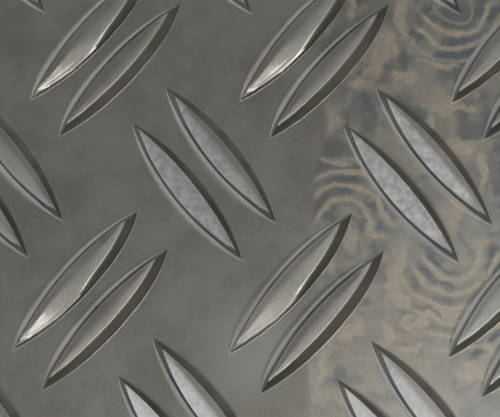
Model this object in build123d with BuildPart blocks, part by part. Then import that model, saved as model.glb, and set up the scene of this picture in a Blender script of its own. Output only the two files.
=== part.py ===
from build123d import *
import os
from math import cos, radians, sin

# Aluminium checker plate: a rolled sheet with pairs of raised, lens-shaped tread bars on its
# upper face, sheared to a square blank. One piece of metal, so one solid.
# Millimetres. The origin is at the middle of the underside, and +Z is up, out of the tread side.

# The blank
plate_length = 200.0  # along X
plate_width = 200.0  # along Y
sheet_thickness = 3.5  # of the plain sheet between the bars

# One tread bar: pointed at both ends, with sloping flanks up to a flat, pointed top
bar_length = 29.0  # from point to point, where it meets the sheet
bar_width = 6.1  # at its middle, where it meets the sheet
bar_height = 1.5  # above the sheet
flank_run = 1.4  # width of the slope beside the flat top, at the middle of the bar
point_run = 2.3  # length of the slope beyond the flat top, at each point

# One pair of tread bars, side by side
bar_spacing = 7.8  # between the middles of the two bars, across them
bar_stagger = 1.6  # how far one bar lies ahead of the other, along them

# The rolled pattern: rows of pairs that lean right, and rows between them that lean left
pitch_across = 33.5  # between pairs that lean the same way, along X
pitch_along = 41.5  # between rows that lean the same way, along Y
bar_angle = 51.0  # degrees between a bar and X

sheet_top = sheet_thickness
bar_top = sheet_top + bar_height

# How far a pair of bars reaches from its middle, along X and along Y
pair_reach_x = (
    (bar_length + bar_stagger) / 2 * cos(radians(bar_angle))
    + (bar_width + bar_spacing) / 2 * sin(radians(bar_angle))
)
pair_reach_y = (
    (bar_length + bar_stagger) / 2 * sin(radians(bar_angle))
    + (bar_width + bar_spacing) / 2 * cos(radians(bar_angle))
)

# How many pitches from the middle of the blank a pair can be and still touch it
columns_each_way = (plate_length / 2 + pair_reach_x) / pitch_across
rows_each_way = (plate_width / 2 + pair_reach_y) / pitch_along

# The outlines of a bar at its foot and round its flat top: height, length and width
bar_sections = (
    (sheet_top, bar_length, bar_width),
    (bar_top, bar_length - 2 * point_run, bar_width - 2 * flank_run),
)

# A single bar, lying along X: two arcs that meet in a point at each end, at both heights
with BuildPart() as tread_bar:
    for height, length, width in bar_sections:
        with BuildSketch(Plane.XY.offset(height)):
            with BuildLine():
                ThreePointArc((-length / 2, 0), (0, width / 2), (length / 2, 0))
                ThreePointArc((length / 2, 0), (0, -width / 2), (-length / 2, 0))
            make_face()
    loft(ruled=True)

# The sheet with its bars, which run on past the blank's edges until the shears cut them off
with BuildPart() as checker_plate:
    with BuildSketch():
        Rectangle(plate_length, plate_width)
    extrude(amount=sheet_thickness)
    with GridLocations(
        pitch_across,
        pitch_along,
        2 * int(columns_each_way) + 1,
        2 * int(rows_each_way) + 1,
    ):
        with Locations(Location((0, 0, 0), (0, 0, bar_angle))):
            with Locations(
                (bar_stagger / 2, bar_spacing / 2),
                (-bar_stagger / 2, -bar_spacing / 2),
            ):
                add(tread_bar.part)
    with GridLocations(
        pitch_across,
        pitch_along,
        2 * int(columns_each_way + 0.5),
        2 * int(rows_each_way + 0.5),
    ):
        with Locations(Location((0, 0, 0), (0, 0, -bar_angle))):
            with Locations(
                (bar_stagger / 2, -bar_spacing / 2),
                (-bar_stagger / 2, bar_spacing / 2),
            ):
                add(tread_bar.part)
    with BuildSketch():
        Rectangle(plate_length, plate_width)
    extrude(amount=bar_top, mode=Mode.INTERSECT)

checker_plate.part.label = "checker_plate"

os.makedirs("parts", exist_ok=True)
export_step(checker_plate.part, "parts/checker_plate.step")
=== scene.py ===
import bpy
from math import cos, pi, radians, sin
from mathutils import Euler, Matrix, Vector


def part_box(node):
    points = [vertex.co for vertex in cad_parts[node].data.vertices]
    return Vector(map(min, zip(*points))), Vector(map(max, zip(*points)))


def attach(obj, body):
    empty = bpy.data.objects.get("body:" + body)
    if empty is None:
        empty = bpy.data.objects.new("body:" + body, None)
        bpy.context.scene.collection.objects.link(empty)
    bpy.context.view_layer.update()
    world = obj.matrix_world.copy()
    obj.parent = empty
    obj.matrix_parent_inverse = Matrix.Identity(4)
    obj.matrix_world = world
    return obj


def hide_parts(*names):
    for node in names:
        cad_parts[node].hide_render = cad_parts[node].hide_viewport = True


# Aluminium checker plate, lying flat with its tread side up. Metres, in the part's own frame.

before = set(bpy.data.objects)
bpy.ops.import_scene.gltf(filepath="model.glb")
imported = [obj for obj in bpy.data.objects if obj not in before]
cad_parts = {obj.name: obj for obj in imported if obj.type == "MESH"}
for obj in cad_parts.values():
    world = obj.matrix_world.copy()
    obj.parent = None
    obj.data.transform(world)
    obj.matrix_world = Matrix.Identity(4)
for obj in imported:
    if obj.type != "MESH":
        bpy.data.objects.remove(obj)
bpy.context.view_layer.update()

# The blank, from the frame, and its gauge
plate_low, plate_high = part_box("checker_plate")
bar_height = 0.0015
sheet_top = plate_high.z - bar_height

# The rolled pattern: pairs of tread bars, leaning right and left by turns
bar_length = 0.029
bar_width = 0.0061
bar_spacing = 0.0078
bar_stagger = 0.0016
bar_angle = radians(51)
pitch_across = 0.0335
pitch_along = 0.0415

# Dried water on the right of the plate, in millimetres: where it starts, how far it is from one
# tide line to the next, the pairs of bars that such lines run round, and where a tan film dried.
# A pair has its middle, its lean, how far off the first line is, and the oval where lines show.
# An oval has its middle, along X and Y, and its half-widths.
tide_edge = 0.5
tide_step = 2.3
tide_pairs = (
    ((0.0, 0.0), 1, 2.2, (6.5, 16.5, 9.5, 8.0)),
    ((16.75, 20.75), -1, 2.2, (24.5, 1.5, 11.0, 10.5)),
    ((16.75, 62.25), -1, 3.1, (23.5, 45.5, 9.0, 6.5)),
)
tan_ovals = (
    (13.6, 48.0, 1.1, 3.8),
    (11.2, 43.0, 1.3, 2.8),
    (9.6, 40.0, 1.3, 2.6),
    (7.6, 36.2, 1.5, 1.5),
    (5.8, 49.0, 0.9, 2.4),
    (14.3, 37.0, 2.4, 0.8),
    (19.8, 39.2, 3.5, 0.7),
    (19.4, 32.7, 2.3, 1.0),
    (22.8, 32.0, 3.6, 0.5),
    (18.8, 29.7, 0.8, 2.0),
    (2.4, 29.6, 1.6, 2.8),
    (4.2, 23.2, 1.9, 0.7),
    (23.7, 25.7, 2.0, 1.4),
    (26.6, 22.0, 0.9, 3.0),
    (22.1, 13.5, 1.1, 2.5),
    (6.5, 9.7, 1.0, 2.3),
    (13.6, 5.0, 1.0, 4.2),
    (15.0, 0.4, 2.1, 1.2),
    (21.5, -1.6, 2.8, 0.7),
    (17.0, -3.0, 2.4, 0.7),
    (13.2, -4.8, 1.4, 0.8),
    (7.5, -4.6, 2.6, 2.0),
    (3.1, -10.9, 0.7, 4.0),
    (16.4, -7.3, 2.0, 1.0),
    (25.4, -10.7, 2.1, 1.1),
    (27.9, -7.3, 1.5, 0.8),
)

# Where the metal is a little lighter, and where a worn bar is more satin than the others are
light_ovals = (
    (-8.3, -6.8, 7.1, 8.3),
    (19.0, -17.5, 12.5, 5.5),
)
satin_ovals = (
    (-7.5, -4.5, 5.0, 6.0),
)

# What the photograph shows of the plate, in millimetres
seen_right = 31
seen_top = 50
seen_bottom = -19

# The photograph's view: the point at its middle, and the camera's turn, distance and lens
view_middle = Vector((-0.0093, 0.0150, sheet_top))
view_turn = Euler((radians(19.15), radians(4.24), radians(2.13)))
view_distance = 0.3902
view_lens = 180  # millimetres
sensor_width = 36  # millimetres


# Shader maths

class Signal:
    """A node's output. Sums written with signals add the Math nodes that work them out."""

    def __init__(self, graph, output):
        self.graph = graph
        self.output = output

    def __add__(self, other):
        return self.graph.math("ADD", self, other)

    def __radd__(self, other):
        return self.graph.math("ADD", other, self)

    def __sub__(self, other):
        return self.graph.math("SUBTRACT", self, other)

    def __rsub__(self, other):
        return self.graph.math("SUBTRACT", other, self)

    def __mul__(self, other):
        return self.graph.math("MULTIPLY", self, other)

    def __rmul__(self, other):
        return self.graph.math("MULTIPLY", other, self)

    def __pow__(self, other):
        return self.graph.math("POWER", self, other)

    def __abs__(self):
        return self.graph.math("ABSOLUTE", self)


class Graph:
    """The nodes of one material or world."""

    def __init__(self, owner):
        owner.use_nodes = True
        self.tree = owner.node_tree
        self.tree.nodes.clear()

    def node(self, kind, settings=None, inputs=None, output=0):
        """Adds a node, with its settings and then its inputs, and gives one of its outputs."""
        made = self.tree.nodes.new(kind)
        for name, value in (settings or {}).items():
            if name == "stops":
                self.set_stops(made.color_ramp, value)
            else:
                setattr(made, name, value)
        for name, value in (inputs or {}).items():
            if isinstance(value, Signal):
                self.tree.links.new(value.output, made.inputs[name])
            else:
                made.inputs[name].default_value = value
        return Signal(self, made.outputs[output]) if made.outputs else None

    def set_stops(self, ramp, stops):
        while len(ramp.elements) < len(stops):
            ramp.elements.new(1)
        for element, (position, colour) in zip(ramp.elements, stops):
            element.position = position
            element.color = colour

    def math(self, operation, *values):
        return self.node("ShaderNodeMath", {"operation": operation}, dict(enumerate(values)))

    def vector(self, operation, *values, output="Vector"):
        inputs = dict(enumerate(values))
        return self.node("ShaderNodeVectorMath", {"operation": operation}, inputs, output)

    def axes(self, place):
        """The three coordinates of a place."""
        split = self.node("ShaderNodeSeparateXYZ", {}, {"Vector": place})
        return [Signal(self, output) for output in split.output.node.outputs]

    def ramp(self, value, low, high):
        """Rises smoothly from 0 where the value is low to 1 where it is high."""
        return self.node(
            "ShaderNodeMapRange",
            {"interpolation_type": "SMOOTHSTEP"},
            {"Value": value, "From Min": low, "From Max": high},
        )

    def mix(self, factor, first, second):
        """Goes from the first colour to the second. Its colour sockets are known by number."""
        inputs = {"Factor": factor, 6: first, 7: second}
        return self.node("ShaderNodeMix", {"data_type": "RGBA"}, inputs, 2)

    def noise(self, place, scale, detail=2.0, roughness=0.5, output="Fac"):
        inputs = {"Vector": place, "Scale": scale, "Detail": detail, "Roughness": roughness}
        return self.node("ShaderNodeTexNoise", {}, inputs, output)


def grey(level):
    return (level, level, level, 1)


# The visible plate

# The outlines of a bar, from the sheet up to its ridge: the share of the fillet, of the flank and
# of the top that lies outside each one, and its height above the sheet
bar_outlines = (
    (-0.10, 0.00, 0.00, 0.0),
    (0.00, 0.00, 0.00, 0.0),
    (0.25, 0.00, 0.00, 0.00001),
    (0.50, 0.00, 0.00, 0.00006),
    (0.75, 0.00, 0.00, 0.00015),
    (1.00, 0.00, 0.00, 0.00028),
    (1.00, 0.22, 0.00, 0.00050),
    (1.00, 0.58, 0.00, 0.00093),
    (1.00, 0.84, 0.00, 0.00123),
    (1.00, 1.00, 0.00, 0.00138),
    (1.00, 1.00, 0.05, 0.001420),
    (1.00, 1.00, 0.13, 0.001439),
    (1.00, 1.00, 0.35, 0.001465),
    (1.00, 1.00, 0.62, 0.001488),
    (1.00, 1.00, 1.00, bar_height),
)
fillet_top = bar_outlines[5][3]
shoulder_height = bar_outlines[9][3]
edge_height = bar_outlines[11][3]  # of the upper side's edge, once it is sharp
arc_steps = 20  # along a bar
arc_half_angle = radians(24)  # of the arc that each side of a bar is stretched from
ridge_share = 0.55  # of the length of the top

# The wear on one bar of the pairs that lean right, in small steps from near its middle to its
# left point: how flat and how much wider they leave the lower flank, and how far the last of them
# turn the lower half. The left end is lowered too, with what lies within reach of it.
worn_steps = 24
worn_start = 0.0025
worn_stride = 0.00044
worn_flattening = 0.08
worn_widening = 1.0025  # at each step
turned_steps = 16
worn_turn = radians(13.5)
lowered_end = -0.0085
lowered_reach = 0.016
lowered_height = 0.55

# Where the lower edge of the top draws in on a bar that leans left, and how narrow it gets
pinch_starts = (0.005, 0.007, 0.009, 0.0105, 0.0115)
pinch_width = 0.82

# Where a bar that leans right bends to its lower side, and how far each time
droop_starts = (-0.006, -0.009, -0.012)
droop_step = 0.00009

# Where such a bar gets fuller, below its right end and above its left end, and how much each time
fuller_starts = (0.003, 0.004, 0.005, 0.006, 0.007, 0.008, 0.009, 0.010, 0.011, 0.012)
fuller_below = 1.018
fuller_above = 1.033

# The scuffing on the top of a bar, partly painted light and shade: how wide the change is from its
# lower to its upper side, what share of it lies below the ridge, and where the right tip starts
side_blend = 0.0007
side_share_below = 0.3
tip_start = 0.0095

# How far off a vertex still counts as at a place, and how near two have to be to count as one
tolerance = 1e-5
weld = 1e-6

# The rows and columns of pairs that cover the blank. The pairs that lean right have a worn bar in
# the columns on the left.
rows_leaning_right = 5
columns_leaning_right = 7
worn_columns = 4
rows_leaning_left = 6
columns_leaning_left = 6
smooth_angle = radians(38)

# Each kind of bar: how scuffed its top is on its upper and lower side and at its right tip, where
# the difference between the sides is partly painted light and shade, how far it tilts, and its
# reach from its middle on each side, with its fillet and flank there
bars_leaning_right = (
    {
        "scuffed": (0.0, 0.15, 0.4),
        "tilt": radians(1.5),
        "worn": True,
        "left": (0.0152, 0.0007, 0.0015),
        "right": (0.0149, 0.0007, 0.0023),
        "upper": (0.0035, 0.0013, 0.0007),
        "lower": (0.0030, 0.00022, 0.0008),
    },
    {
        "scuffed": (0.0, 0.15, 0.7),
        "tilt": radians(0.7),
        "left": (0.0152, 0.0007, 0.0015),
        "right": (0.0149, 0.0007, 0.0023),
        "upper": (0.0035, 0.0013, 0.0007),
        "lower": (0.0029, 0.00032, 0.0011),
    },
)
bars_leaning_left = (
    {
        "scuffed": (0.95, 1.0, 0.3),
        "tilt": radians(4),
        "pinched": True,
        "left": (0.0151, 0.0007, 0.0017),
        "right": (0.0147, 0.0007, 0.0011),
        "upper": (0.0033, 0.0008, 0.0012),
        "lower": (0.0036, 0.00125, 0.0003),
    },
    {
        # The upper side of this top is left unscuffed and dark as painted shade
        "scuffed": (0.1, 1.0, 0.0),
        "tilt": radians(4),
        "pinched": True,
        "left": (0.0151, 0.0007, 0.0025),
        "right": (0.0147, 0.0007, 0.0011),
        "upper": (0.0031, 0.0005, 0.0012),
        "lower": (0.00365, 0.00135, 0.0003),
    },
)


def start_editing(piece):
    """Leaves only this piece selected, in edit mode, with nothing in it selected."""
    bpy.ops.object.select_all(action="DESELECT")
    piece.select_set(True)
    bpy.context.view_layer.objects.active = piece
    bpy.ops.object.mode_set(mode="EDIT")
    bpy.ops.mesh.select_all(action="DESELECT")


def reach(side, outline, top_share):
    """How far an outline lies from the bar's middle on one side."""
    total, fillet, flank = side
    past_fillet, past_flank, past_top, height = outline
    shoulder = total - fillet * past_fillet - flank * past_flank
    return shoulder - (total - fillet - flank) * past_top * top_share


def half_bar(name, sides, across):
    """One side of a bar along X, from the sheet to the ridge. Across is 1 above and -1 below."""
    bpy.ops.object.select_all(action="DESELECT")
    bpy.ops.mesh.primitive_circle_add(
        vertices=round(pi / arc_half_angle * arc_steps / 4) * 4,  # in fours, with one on Y
        radius=1,
        fill_type="NOTHING",
        location=(0, -cos(arc_half_angle), sheet_top),
    )
    half = bpy.context.object
    half.name = name
    bpy.ops.object.transform_apply()
    bpy.ops.object.mode_set(mode="EDIT")
    bpy.ops.mesh.select_all(action="SELECT")
    bpy.ops.mesh.bisect(plane_co=(0, 0, 0), plane_no=(0, 1, 0), clear_inner=True, threshold=weld)
    bpy.ops.mesh.select_all(action="SELECT")
    low, high, side, height = -sin(arc_half_angle), sin(arc_half_angle), 1 - cos(arc_half_angle), 0
    for outline in bar_outlines:
        new_low = -reach(sides["left"], outline, 1 - ridge_share)
        new_high = reach(sides["right"], outline, 1 - ridge_share)
        new_side = across * reach(sides["upper" if across > 0 else "lower"], outline, 1)
        if outline != bar_outlines[0]:
            bpy.ops.mesh.extrude_edges_move()
        stretch = (new_high - new_low) / (high - low)
        bpy.ops.transform.resize(value=(stretch, new_side / side, 1), center_override=(0, 0, 0))
        bpy.ops.transform.translate(value=(new_low - low * stretch, 0, outline[3] - height))
        low, high, side, height = new_low, new_high, new_side, outline[3]
    bpy.ops.object.mode_set(mode="OBJECT")
    return half


def select_vertices(piece, wanted):
    """Selects the wanted vertices, in edit mode."""
    bpy.ops.mesh.select_mode(type="VERT")
    bpy.ops.mesh.select_all(action="DESELECT")
    bpy.ops.object.mode_set(mode="OBJECT")
    for vertex in piece.data.vertices:
        vertex.select = wanted(vertex)
    bpy.ops.object.mode_set(mode="EDIT")


def note_scuffs_and_painted_light(bar, scuffed, top):
    """Marks the top of a bar, for the finish, with how scuffed its sides and its right tip are, and
    so with the painted light and shade on them.
    """
    upper, lower, tip = scuffed
    marks = bar.data.attributes.new("scuffed", "FLOAT", "POINT")
    for vertex, mark in zip(bar.data.vertices, marks.data):
        if vertex.index in top:
            upward = min(max(vertex.co.y / side_blend + side_share_below, 0), 1)
            mark.value = tip if vertex.co.x > tip_start else upper * upward + lower * (1 - upward)


def side_of(bar, side):
    """The numbers of the vertices on the upper side of a bar, 1, or on its lower side, -1."""
    return {vertex.index for vertex in bar.data.vertices if side * vertex.co.y > tolerance}


def higher_than(bar, height):
    """The numbers of the vertices higher above the sheet than this."""
    return {vertex.index for vertex in bar.data.vertices if vertex.co.z - sheet_top > height}


def sharpen_edge(bar):
    """Brings the upper flank up to the top without a rounded edge between them."""
    low, high = shoulder_height - tolerance, edge_height + weld
    start_editing(bar)
    select_vertices(
        bar, lambda vertex: vertex.co.y > tolerance and low < vertex.co.z - sheet_top < high
    )
    bpy.ops.transform.resize(value=(1, 1, 0), center_override=(0, 0, sheet_top + edge_height))
    bpy.ops.object.mode_set(mode="OBJECT")


def wear_down(bar, top, flank):
    """Lowers the left end of a bar, and lays the flank below it almost flat."""
    shoulder = (0, 0, sheet_top + shoulder_height)
    lower_half = side_of(bar, -1)
    lower_flank = lower_half & flank
    turned = lower_half & (top | flank)
    ends = [worn_start - step * worn_stride for step in range(worn_steps)]
    flattening = worn_flattening ** (1 / worn_steps)
    start_editing(bar)
    for end in ends:
        select_vertices(bar, lambda vertex: vertex.co.x < end and vertex.index in lower_flank)
        bpy.ops.transform.resize(value=(1, worn_widening, flattening), center_override=shoulder)
    select_vertices(bar, lambda vertex: vertex.co.x < lowered_end)
    bpy.ops.transform.resize(
        value=(1, 1, lowered_height),
        center_override=(0, 0, sheet_top),
        use_proportional_edit=True,
        proportional_edit_falloff="SMOOTH",
        proportional_size=lowered_reach,
    )
    ridge = (0, 0, sheet_top + bar_height * lowered_height)
    angle = worn_turn / turned_steps
    for end in ends[-turned_steps:]:
        select_vertices(bar, lambda vertex: vertex.co.x < end and vertex.index in turned)
        bpy.ops.transform.rotate(value=-angle, orient_axis="X", center_override=ridge)
    bpy.ops.object.mode_set(mode="OBJECT")


def pinch_end(bar, top):
    """Draws the lower edge of the top in towards the ridge, more and more up to the right point."""
    drawn_in = side_of(bar, -1) & top
    start_editing(bar)
    for start in pinch_starts:
        select_vertices(bar, lambda vertex: vertex.co.x > start and vertex.index in drawn_in)
        bpy.ops.transform.resize(value=(1, pinch_width, 1), center_override=(0, 0, sheet_top))
    bpy.ops.object.mode_set(mode="OBJECT")


def fill_out(bar, foot):
    """Makes a bar fuller below its right end, and its foot above its left end."""
    below = side_of(bar, -1)
    above = side_of(bar, 1) & foot
    start_editing(bar)
    for start in fuller_starts:
        select_vertices(bar, lambda vertex: vertex.co.x > start and vertex.index in below)
        bpy.ops.transform.resize(value=(1, fuller_below, 1), center_override=(0, 0, sheet_top))
        select_vertices(bar, lambda vertex: vertex.co.x < -start and vertex.index in above)
        bpy.ops.transform.resize(value=(1, fuller_above, 1), center_override=(0, 0, sheet_top))
    bpy.ops.object.mode_set(mode="OBJECT")


def droop(bar):
    """Bends the left end of a bar a little to its lower side."""
    start_editing(bar)
    for start in droop_starts:
        select_vertices(bar, lambda vertex: vertex.co.x < start)
        bpy.ops.transform.translate(value=(0, -droop_step, 0))
    bpy.ops.object.mode_set(mode="OBJECT")


def tilt_top(bar, angle, top):
    """Turns the top of a bar down on its lower side, and keeps it at the bar's height."""
    ridge = (0, 0, sheet_top + bar_height)
    start_editing(bar)
    select_vertices(bar, lambda vertex: vertex.index in top)
    bpy.ops.transform.rotate(value=-angle, orient_axis="X", center_override=ridge)
    bpy.ops.object.mode_set(mode="OBJECT")
    rise = max(vertex.co.z for vertex in bar.data.vertices) - sheet_top - bar_height
    bpy.ops.object.mode_set(mode="EDIT")
    bpy.ops.transform.translate(value=(0, 0, -rise))
    bpy.ops.object.mode_set(mode="OBJECT")


def tread_bar(name, sides):
    """One bar lying along X, open underneath."""
    bar = join([half_bar(f"{name}_half", sides, across) for across in (1, -1)], name)
    start_editing(bar)
    bpy.ops.mesh.select_all(action="SELECT")
    bpy.ops.mesh.remove_doubles(threshold=weld)
    bpy.ops.object.mode_set(mode="OBJECT")
    top = higher_than(bar, shoulder_height - tolerance)
    flank = higher_than(bar, fillet_top + tolerance) - top
    foot = higher_than(bar, -tolerance) - flank - top
    note_scuffs_and_painted_light(bar, sides["scuffed"], top)
    sharpen_edge(bar)
    if sides.get("worn"):
        wear_down(bar, top, flank)
    if sides.get("pinched"):
        pinch_end(bar, top)
    else:
        fill_out(bar, foot)
        droop(bar)
    tilt_top(bar, sides["tilt"], top)
    return bar


def apply_place(piece):
    bpy.ops.object.select_all(action="DESELECT")
    piece.select_set(True)
    bpy.context.view_layer.objects.active = piece
    bpy.ops.object.transform_apply()


def join(pieces, name):
    bpy.ops.object.select_all(action="DESELECT")
    for piece in pieces:
        piece.select_set(True)
    bpy.context.view_layer.objects.active = pieces[0]
    bpy.ops.object.join()
    pieces[0].name = name
    return pieces[0]


def pair_of_bars(name, kinds, lean):
    """Two bars side by side about the origin. Lean is 1 to the right and -1 to the left."""
    pair = []
    for sides, place in zip(kinds, (1, -1)):
        bar = tread_bar(f"{name}_{len(pair)}", sides)
        along = place * bar_stagger / 2
        across = place * lean * bar_spacing / 2
        angle = lean * bar_angle
        bar.rotation_euler = (0, 0, angle)
        bar.location = (
            along * cos(angle) - across * sin(angle),
            along * sin(angle) + across * cos(angle),
            0,
        )
        apply_place(bar)
        pair.append(bar)
    return join(pair, name)


def repeat(piece, columns, rows, middle=0):
    """Arrays the piece at the pattern's pitch, with its columns centred at middle, in pitches."""
    for count, step in ((columns, (pitch_across, 0, 0)), (rows, (0, pitch_along, 0))):
        array = piece.modifiers.new("rows", "ARRAY")
        array.count = count
        array.use_relative_offset = False
        array.use_constant_offset = True
        array.constant_offset_displace = step
        bpy.context.view_layer.objects.active = piece
        bpy.ops.object.modifier_apply(modifier=array.name)
    first_column = middle - (columns - 1) / 2
    piece.location = (first_column * pitch_across, -(rows - 1) / 2 * pitch_along, 0)
    apply_place(piece)
    return piece


def select_open_edges():
    bpy.ops.mesh.select_all(action="DESELECT")
    bpy.ops.mesh.select_mode(type="EDGE")
    bpy.ops.mesh.select_non_manifold(
        extend=False,
        use_wire=True,
        use_boundary=True,
        use_multi_face=False,
        use_non_contiguous=False,
        use_verts=False,
    )


def rolled_plate():
    """The sheet and its bars as one skin, sheared along the blank's four edges and closed below."""
    crisp = ({**bars_leaning_right[0], "worn": False}, bars_leaning_right[1])
    worn_pairs = repeat(
        pair_of_bars("worn_pairs", bars_leaning_right, 1),
        worn_columns,
        rows_leaning_right,
        (worn_columns - columns_leaning_right) / 2,
    )
    crisp_pairs = repeat(
        pair_of_bars("crisp_pairs", crisp, 1),
        columns_leaning_right - worn_columns,
        rows_leaning_right,
        worn_columns / 2,
    )
    left = repeat(
        pair_of_bars("pairs_left", bars_leaning_left, -1), columns_leaning_left, rows_leaning_left
    )
    bpy.ops.object.select_all(action="DESELECT")
    margin = pitch_across
    bpy.ops.mesh.primitive_plane_add(
        size=plate_high.x - plate_low.x + 2 * margin,
        location=(0, 0, sheet_top),
    )
    sheet = bpy.context.object
    apply_place(sheet)
    start_editing(sheet)
    bpy.ops.mesh.select_all(action="SELECT")
    bpy.ops.mesh.delete(type="ONLY_FACE")
    bpy.ops.object.mode_set(mode="OBJECT")
    plate = join([sheet, worn_pairs, crisp_pairs, left], "rolled_plate")
    start_editing(plate)
    select_open_edges()
    bpy.ops.mesh.fill(use_beauty=True)
    bpy.ops.mesh.select_all(action="SELECT")
    bpy.ops.mesh.normals_make_consistent(inside=False)
    for corner, outward in (
        (plate_high, (1, 0, 0)),
        (plate_low, (-1, 0, 0)),
        (plate_high, (0, 1, 0)),
        (plate_low, (0, -1, 0)),
    ):
        bpy.ops.mesh.select_all(action="SELECT")
        bpy.ops.mesh.bisect(plane_co=corner, plane_no=outward, clear_outer=True, threshold=weld)
    select_open_edges()
    bpy.ops.mesh.extrude_edges_move()
    bpy.ops.transform.resize(value=(1, 1, 0), center_override=(0, 0, 0))
    bpy.ops.mesh.edge_face_add()
    bpy.ops.mesh.select_all(action="SELECT")
    bpy.ops.mesh.normals_make_consistent(inside=False)
    bpy.ops.object.mode_set(mode="OBJECT")
    bpy.ops.object.shade_smooth_by_angle(angle=smooth_angle)
    return plate


# Finishes

# Colours of the plate, from darker to lighter where there are two
metal_colours = ((0.19, 0.18, 0.157, 1), (0.252, 0.24, 0.212, 1))
scuff_colours = ((0.235, 0.23, 0.216, 1), (0.36, 0.353, 0.335, 1))
# Painted highlight: the scuffed tops lighter towards the right and towards the bottom
painted_highlight_scuff_colours = ((0.33, 0.323, 0.306, 1), (0.58, 0.57, 0.548, 1))
lowest_painted_highlight_colour = (0.62, 0.61, 0.585, 1)
grain_colour = (0.27, 0.258, 0.234, 1)
# Painted light: the paler metal towards the lower right
painted_light_colour = (0.345, 0.335, 0.31, 1)
light_colour = (0.36, 0.35, 0.322, 1)
blue_colour = (0.14, 0.155, 0.158, 1)
dried_colour = (0.34, 0.337, 0.327, 1)
tan_colour = (0.415, 0.37, 0.288, 1)

# Noise per millimetre: how fine it is, its detail and its roughness, and the range of values
# over which what it makes fades in
grain_noise, grain_range = (2.6, 5, 0.7), (0.35, 0.7)
cloud_noise, cloud_range = (0.13, 4, 0.6), (0.3, 0.68)
mottle_noise, mottle_range = (0.8, 4, 0.65), (0.3, 0.7)
dried_noise, dried_range = (0.24, 4, 0.65), (0.5, 0.62)
fine_noise, streak_range = (0.9, 5, 0.75), (0.28, 0.72)
blotch_noise, blotch_range = (0.12, 2), (0.43, 0.57)
film_noise, film_range = (0.13, 2, 0.55), (0.58, 0.74)
shown_noise, shown_range = (0.1, 1), (0.42, 0.56)
wobble_noise = (0.2, 3, 0.6)
shore_noise = (0.07, 2)
line_noise = (0.05, 1)
lines_in_noise = 60  # radians from the noise's lowest value to its highest

# The same for tide lines, from -1 between them to 1 on them, and for the distance from ovals
tan_range = (-0.1, 0.95)
blue_range = (0.0, -0.9)
tide_oval_range = (1.15, 0.6)
tan_oval_range = (1.6, 0.5)
light_oval_range = (1.4, 0.3)
satin_oval_range = (1.5, 0.5)

# How much finer noise frays tide lines, films and lightened places
tide_fray = 0.9
line_fray = 1.5
tan_fray = 1.4
film_fray = 0.25
light_fray = 0.8

# How strongly each colour shows, where it does
grain_share = 0.5
# The painted light towards the lower right, on the bars and on the sheet
painted_light_share_on_bars = 0.35
painted_light_share_on_sheet = 0.8
light_share_on_bars = 0.15
light_share_on_sheet = 0.5
blue_share = 0.85
lowest_blue_share = 0.3
dried_share = 0.5
tan_share = 0.95
film_share = 0.9
between_lines_share = 0.8
under_film_loss = 0.8
noise_share_in_view = 0.5  # of the tide lines and films that are laid by noise alone
# The painted highlight on the scuffed tops, towards the right and towards the bottom
painted_highlight_share = 0.8
lowest_painted_highlight_share = 0.45
faintest_streak = 0.55
streak_gain = 0.75
upward_gain = 0.07  # of the blue blotches
bluest = 1.2

# How rough the metal is, and what clouds, scuffing, the right side and the satin add to it
bare_roughness = 0.19
cloud_roughness = 0.05
scuff_roughness = 0.2
rightward_roughness = 0.05
satin_roughness = 0.12

# Where a change across the plate starts and ends, along X or along Y, in millimetres
rightward_x = (-2, 22)
scuffed_x = (-52, -28)
upward_y = (8, 30)
downward_y = (34, 0)
# Where the painted highlight on the scuffed tops sets in towards the bottom
painted_highlight_y = (0, -14)
lowest_y = (-7, -16)

# How far noise shifts the tide lines, the films and the shore in all, in millimetres
line_stray = 2.4
film_stray = 7.0
shore_stray = 8
shore_width = 1.5

# How far apart the distances to two bars, or to two ovals, still blend
bar_blend = 4
oval_blend = 0.4

# How far from a bar its tide lines fade in, how far from the sheet the marks on it fade out, and
# how far outside the photograph noise alone lays the marks, in millimetres
off_bars_range = (0.5, 1.4)
off_sheet_range = (0.12, 0.04)
unseen_range = (0, 3)


def from_pair(graph, x, y, middle, lean):
    """How far, in millimetres, a place is from the nearest point of a pair of bars."""
    length, width, spacing, stagger = (
        size * 1000 for size in (bar_length, bar_width, bar_spacing, bar_stagger)
    )
    angle = lean * bar_angle
    along = (x - middle[0]) * cos(angle) + (y - middle[1]) * sin(angle)
    across = (y - middle[1]) * cos(angle) - (x - middle[0]) * sin(angle)
    distances = []
    for place in (1, -1):
        past_end = abs(along - place * stagger / 2) - (length - width / 2) / 2
        past_end = graph.math("MAXIMUM", past_end, 0)
        from_axis = across - place * lean * spacing / 2
        distances.append((past_end ** 2 + from_axis * from_axis) ** 0.5 - width / 4)
    return graph.math("SMOOTH_MIN", *distances, bar_blend)


def from_ovals(graph, place, ovals):
    """How far a place is from the nearest oval's middle: 1 at the oval's edge."""
    nearest = None
    for middle_x, middle_y, half_x, half_y in ovals:
        scale = (1 / half_x, 1 / half_y, 0)
        shift = (-middle_x / half_x, -middle_y / half_y, 0)
        across = graph.vector("MULTIPLY_ADD", place, scale, shift)
        distance = graph.vector("LENGTH", across, output="Value")
        if nearest is None:
            nearest = distance
        else:
            nearest = graph.math("SMOOTH_MIN", nearest, distance, oval_blend)
    return nearest


def stray(graph, place, noise, width):
    """Shifts a place along X and Y by noise, at most half the width each way."""
    shifted = graph.vector("MULTIPLY_ADD", noise, (width, width, 0), place)
    return graph.vector("SUBTRACT", shifted, (width / 2, width / 2, 0))


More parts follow.
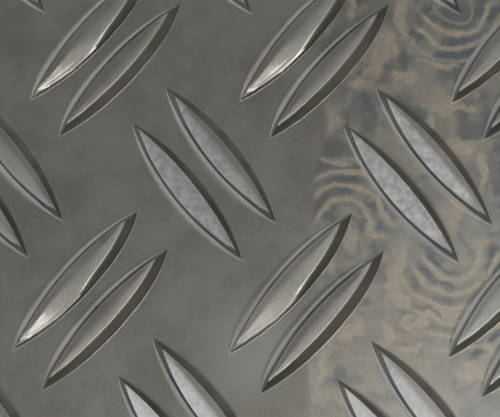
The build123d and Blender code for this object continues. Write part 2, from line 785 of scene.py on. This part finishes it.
def tide_lines(graph, millimetres, wobbled, fine, noise_share):
    """From -1 between tide lines to 1 on one: round pairs of bars, and by noise elsewhere."""
    near_x, near_y = graph.axes(wobbled)[:2]
    shown = graph.ramp(graph.noise(millimetres, *shown_noise), *shown_range) * noise_share
    turns = graph.noise(wobbled, *line_noise) * lines_in_noise + fine * line_fray
    lines = graph.math("SINE", turns) * shown
    for middle, lean, first, oval in tide_pairs:
        to_bars = from_pair(graph, near_x, near_y, middle, lean)
        turns = (to_bars - first) * (2 * pi / tide_step) + (fine - 0.5) * tide_fray
        within = graph.ramp(from_ovals(graph, millimetres, (oval,)), *tide_oval_range)
        off_bars = graph.ramp(to_bars, *off_bars_range)
        lines = lines * (1 - within) + graph.math("COSINE", turns) * within * off_bars
    return lines


def water_marks(graph, millimetres):
    """Water that dried on the plate: where there is any, and how tan and how blue it left it."""
    x, y = graph.axes(millimetres)[:2]
    wobble = graph.noise(millimetres, *wobble_noise, "Color")
    wobbled = stray(graph, millimetres, wobble, line_stray)
    wandering = stray(graph, millimetres, wobble, film_stray)
    fine = graph.noise(millimetres, *fine_noise)
    streaks = faintest_streak + graph.ramp(fine, *streak_range) * streak_gain

    shore = x + shore_stray * (graph.noise(millimetres, *shore_noise) - 0.5)
    wetted = graph.ramp(shore, tide_edge, tide_edge + shore_width)
    past_view = graph.math("MAXIMUM", y - seen_top, seen_bottom - y)
    past_view = graph.math("MAXIMUM", x - seen_right, past_view)
    elsewhere = graph.ramp(past_view, *unseen_range)
    noise_share = noise_share_in_view + (1 - noise_share_in_view) * elsewhere

    lines = tide_lines(graph, millimetres, wobbled, fine, noise_share)
    to_tan = from_ovals(graph, wandering, tan_ovals) + (fine - 0.5) * tan_fray
    film = graph.noise(wandering, *film_noise) + film_fray * fine
    film = graph.ramp(film, *film_range) * noise_share
    film = graph.math("MAXIMUM", graph.ramp(to_tan, *tan_oval_range), film)
    blotches = graph.noise(wandering, *blotch_noise) + upward_gain * graph.ramp(y, *upward_y)
    blotches = graph.ramp(blotches, *blotch_range)

    tan = graph.math("MAXIMUM", graph.ramp(lines, *tan_range), film_share * film) * streaks
    blue = graph.ramp(lines, *blue_range) * between_lines_share + blotches
    blue = blue * (1 - under_film_loss * film) * streaks
    return wetted, tan, graph.math("MINIMUM", blue, bluest)


def aluminium_finish():
    """Rolled mill finish with dried water marks, and scuffed on the bars that lean left, with
    painted light towards the lower right and on the tops.
    """
    material = bpy.data.materials.new("mill_finish_aluminium")
    graph = Graph(material)
    place = graph.node("ShaderNodeTexCoord", output="Object")
    millimetres = graph.vector("MULTIPLY", place, (1000, 1000, 1000))
    x, y, z = graph.axes(millimetres)
    # The scuffs on the tops, with the painted light and shade on their sides and tips
    scuffed = graph.node("ShaderNodeAttribute", {"attribute_name": "scuffed"}, output="Fac")
    grain = graph.noise(millimetres, *grain_noise)
    clouds = graph.noise(millimetres, *cloud_noise)
    on_sheet = graph.ramp(abs(z - sheet_top * 1000), *off_sheet_range)
    rightward = graph.ramp(x, *rightward_x)
    downward = graph.ramp(y, *downward_y)
    lowest = graph.ramp(y, *lowest_y)

    # The bare metal, paler towards the lower right as painted light
    metal = graph.mix(graph.ramp(clouds, *cloud_range), *metal_colours)
    metal = graph.mix(graph.ramp(grain, *grain_range) * grain_share, metal, grain_colour)
    share = painted_light_share_on_bars + (painted_light_share_on_sheet - painted_light_share_on_bars) * on_sheet
    metal = graph.mix(rightward * downward * share, metal, painted_light_colour)
    to_light = from_ovals(graph, millimetres, light_ovals) + (clouds - 0.5) * light_fray
    share = light_share_on_bars + (light_share_on_sheet - light_share_on_bars) * on_sheet
    metal = graph.mix(graph.ramp(to_light, *light_oval_range) * share, metal, light_colour)

    # The water marks, which lie on the sheet only
    wetted, tan, blue = water_marks(graph, millimetres)
    wetted = wetted * on_sheet
    share = blue_share + (lowest_blue_share - blue_share) * lowest
    metal = graph.mix(wetted * blue * share, metal, blue_colour)
    dried = graph.ramp(graph.noise(millimetres, *dried_noise), *dried_range) * downward
    metal = graph.mix(wetted * dried * dried_share, metal, dried_colour)
    metal = graph.mix(wetted * tan * tan_share, metal, tan_colour)

    # The scuffed tops, with painted light and shade on their sides and tips, and painted highlight
    # lighter towards the right and the bottom
    mottle = graph.ramp(graph.noise(millimetres, *mottle_noise), *mottle_range)
    painted_highlight = graph.math("MAXIMUM", rightward, graph.ramp(y, *painted_highlight_y)) * painted_highlight_share
    scuffs_with_highlight = graph.mix(
        painted_highlight, graph.mix(mottle, *scuff_colours), graph.mix(mottle, *painted_highlight_scuff_colours)
    )
    scuffs_with_highlight = graph.mix(lowest * lowest_painted_highlight_share, scuffs_with_highlight, lowest_painted_highlight_colour)
    colour = graph.mix(scuffed * graph.ramp(x, *scuffed_x), metal, scuffs_with_highlight)

    satin = graph.ramp(from_ovals(graph, millimetres, satin_ovals), *satin_oval_range)
    roughness = (
        bare_roughness
        + cloud_roughness * clouds
        + scuff_roughness * scuffed
        + rightward_roughness * rightward
        + satin_roughness * satin * (1 - on_sheet)
    )
    relief = graph.node(
        "ShaderNodeBump", {}, {"Height": grain, "Strength": 0.05, "Distance": 0.0002}
    )
    surface = graph.node(
        "ShaderNodeBsdfPrincipled",
        {},
        {"Base Color": colour, "Metallic": 0.85, "Roughness": roughness, "Normal": relief},
    )
    graph.node("ShaderNodeOutputMaterial", {}, {"Surface": surface})
    return material


def floor_finish():
    material = bpy.data.materials.new("pale_floor")
    graph = Graph(material)
    surface = graph.node(
        "ShaderNodeBsdfPrincipled", {}, {"Base Color": (0.8, 0.8, 0.79, 1), "Roughness": 0.7}
    )
    graph.node("ShaderNodeOutputMaterial", {}, {"Surface": surface})
    return material


# Light

# The world's brightness, from the side opposite low_right to the side where it points
low_right = (0.88, -0.12, -0.45)
world_stops = (
    (0.00, grey(0.7)),
    (0.30, grey(0.5)),
    (0.55, grey(0.5)),
    (0.70, grey(0.42)),
    (0.80, (0.245, 0.23, 0.207, 1)),
)

# A dimmer patch in it, high behind the plate: where it is, the cosines between which it sets in,
# and how much dimmer it is
dim_patch = (-0.25, 0.47, 0.85)
dim_patch_range = (0.93, 1.0)
dim_patch_shade = 0.4

window_colour = (0.71, 0.83, 1.0)
floor_size = 6


def softbox(name, towards, size, brightness, colour=(1, 1, 1)):
    """A square lamp, 1 m off, that faces the plate. Brightness 1 reflects as white."""
    data = bpy.data.lights.new(name, "AREA")
    data.shape = "SQUARE"
    data.size = size
    data.energy = brightness * pi * size ** 2
    data.color = colour
    lamp = bpy.data.objects.new(name, data)
    bpy.context.scene.collection.objects.link(lamp)
    direction = Vector(towards).normalized()
    lamp.location = view_middle + direction
    lamp.rotation_euler = direction.to_track_quat("Z", "Y").to_euler()


def studio_world():
    """Grey all round, dark low on the right, and dimmer in one patch."""
    world = bpy.data.worlds.new("studio")
    bpy.context.scene.world = world
    graph = Graph(world)
    direction = graph.node("ShaderNodeTexCoord", output="Generated")
    rightward = graph.vector("DOT_PRODUCT", direction, low_right, output="Value")
    ambient = graph.node(
        "ShaderNodeValToRGB", {"stops": world_stops}, {"Fac": rightward * 0.5 + 0.5}
    )
    dim_way = Vector(dim_patch).normalized()
    to_patch = graph.vector("DOT_PRODUCT", direction, dim_way, output="Value")
    shade = graph.ramp(to_patch, *dim_patch_range) * dim_patch_shade
    ambient = graph.mix(shade, ambient, grey(0))
    background = graph.node("ShaderNodeBackground", {}, {"Color": ambient, "Strength": 1.0})
    graph.node("ShaderNodeOutputWorld", {}, {"Surface": background})


def light_the_plate():
    studio_world()
    softbox("overhead", (0.1, -0.12, 0.98), size=0.75, brightness=0.75)
    softbox("left_window", (-0.72, -0.18, 0.66), size=0.8, brightness=0.72, colour=window_colour)
    softbox("back_window", (-0.55, 0.62, 0.55), size=0.6, brightness=0.72, colour=window_colour)
    softbox("key", (0.35, -0.14, 0.93), size=0.24, brightness=5.0)


def place_camera():
    data = bpy.data.cameras.new("camera")
    data.lens = view_lens
    data.sensor_width = sensor_width
    data.clip_start = 0.01
    camera = bpy.data.objects.new("camera", data)
    bpy.context.scene.collection.objects.link(camera)
    camera.rotation_euler = view_turn
    camera.location = view_middle + view_turn.to_matrix() @ Vector((0, 0, view_distance))
    bpy.context.scene.camera = camera


def lay_floor():
    bpy.ops.object.select_all(action="DESELECT")
    bpy.ops.mesh.primitive_plane_add(size=floor_size, location=(0, 0, plate_low.z))
    floor = bpy.context.object
    floor.name = "floor"
    floor.data.materials.append(floor_finish())


bpy.context.scene.view_settings.view_transform = "Standard"
place_camera()
lay_floor()
light_the_plate()

plate = rolled_plate()
plate.data.materials.append(aluminium_finish())
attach(plate, "root")
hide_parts("checker_plate")
